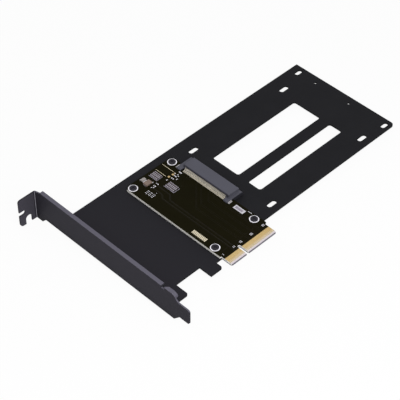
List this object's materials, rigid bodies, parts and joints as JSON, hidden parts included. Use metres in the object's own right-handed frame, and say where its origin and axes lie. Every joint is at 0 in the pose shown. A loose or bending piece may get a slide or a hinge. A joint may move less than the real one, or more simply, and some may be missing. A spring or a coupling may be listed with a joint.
{
  "type": "drive carrier adapter card",
  "caption": "Expansion-slot card whose steel carrier plate holds a 2.5 inch drive, with an edge-connector board, a drive receptacle and a folded slot bracket.",
  "frame": {"origin": "middle of the board's key notch, at the contact edge, on the carrier plate's upper face that the board lies on", "axes": "+X along the card from the bracket to the far end, +Y up the card from the contact edge, +Z out of the carrier plate on the component side"},
  "size_m": [0.2073, 0.1209, 0.0216],
  "materials": {
    "carrier_black": "satin black coat on steel sheet",
    "bracket_black": "satin black plating on steel sheet",
    "solder_mask": "black solder mask over glass laminate",
    "gold": "hard gold plating",
    "pale_gold": "immersion gold",
    "contact_plating": "tin over copper alloy",
    "tin": "bright solder",
    "black_zinc": "black zinc",
    "slate_polymer": "moulded, fine texture",
    "ceramic_tan": "fired ceramic",
    "black_epoxy": "moulded epoxy",
    "salmon_epoxy": "moulded epoxy"
  },
  "bodies": {
    "root": {"carrier_plate": "carrier_black", "slot_bracket": "bracket_black", "adapter_board": "solder_mask", "component_side_pads": "gold", "solder_side_pads": "gold", "screw_lands": "tin", "board_screws": "black_zinc", "upper_contacts": "contact_plating", "lower_contacts": "contact_plating", "receptacle_housing": "slate_polymer", "board_locks": "tin", "chip_bodies": "ceramic_tan", "chip_ends": "tin", "resistor_bodies": "black_epoxy", "resistor_ends": "tin", "reservoir_body": "salmon_epoxy", "reservoir_tabs": "tin", "switch_body": "black_epoxy", "switch_leads": "tin", "test_pads": "pale_gold", "bare_traces": "pale_gold"}
  },
  "joints": []
}
